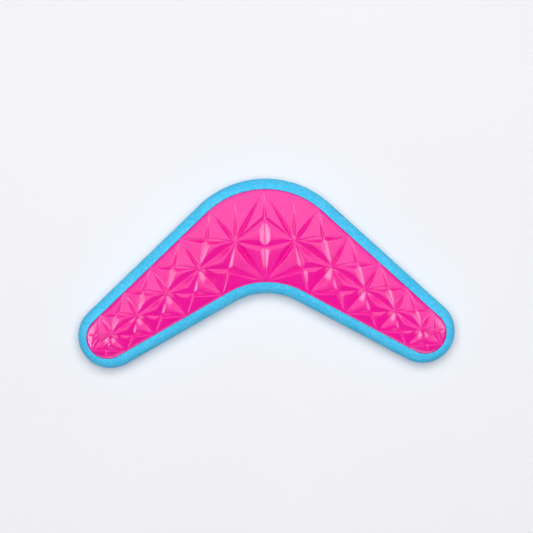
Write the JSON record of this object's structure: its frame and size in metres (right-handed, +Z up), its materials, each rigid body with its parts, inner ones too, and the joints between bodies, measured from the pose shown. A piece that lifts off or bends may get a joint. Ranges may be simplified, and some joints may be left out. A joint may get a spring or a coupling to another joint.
{
  "type": "boomerang",
  "caption": "Throwing boomerang with a soft round rim and raised star-faceted grip panels on both faces.",
  "frame": {"origin": "middle of the toy's box, on the surface it lies on", "axes": "+X along the span from tip to tip, +Y from the tips towards the crown of the elbow, +Z up out of the front panel"},
  "size_m": [0.26, 0.1289, 0.024],
  "materials": {
    "foam_blue": "matte foamed thermoplastic rubber with a fine mottled skin",
    "panel_pink": "smooth glossy thermoplastic rubber"
  },
  "bodies": {
    "root": {"foam_body": "foam_blue", "front_panel": "panel_pink", "back_panel": "panel_pink"}
  },
  "joints": []
}
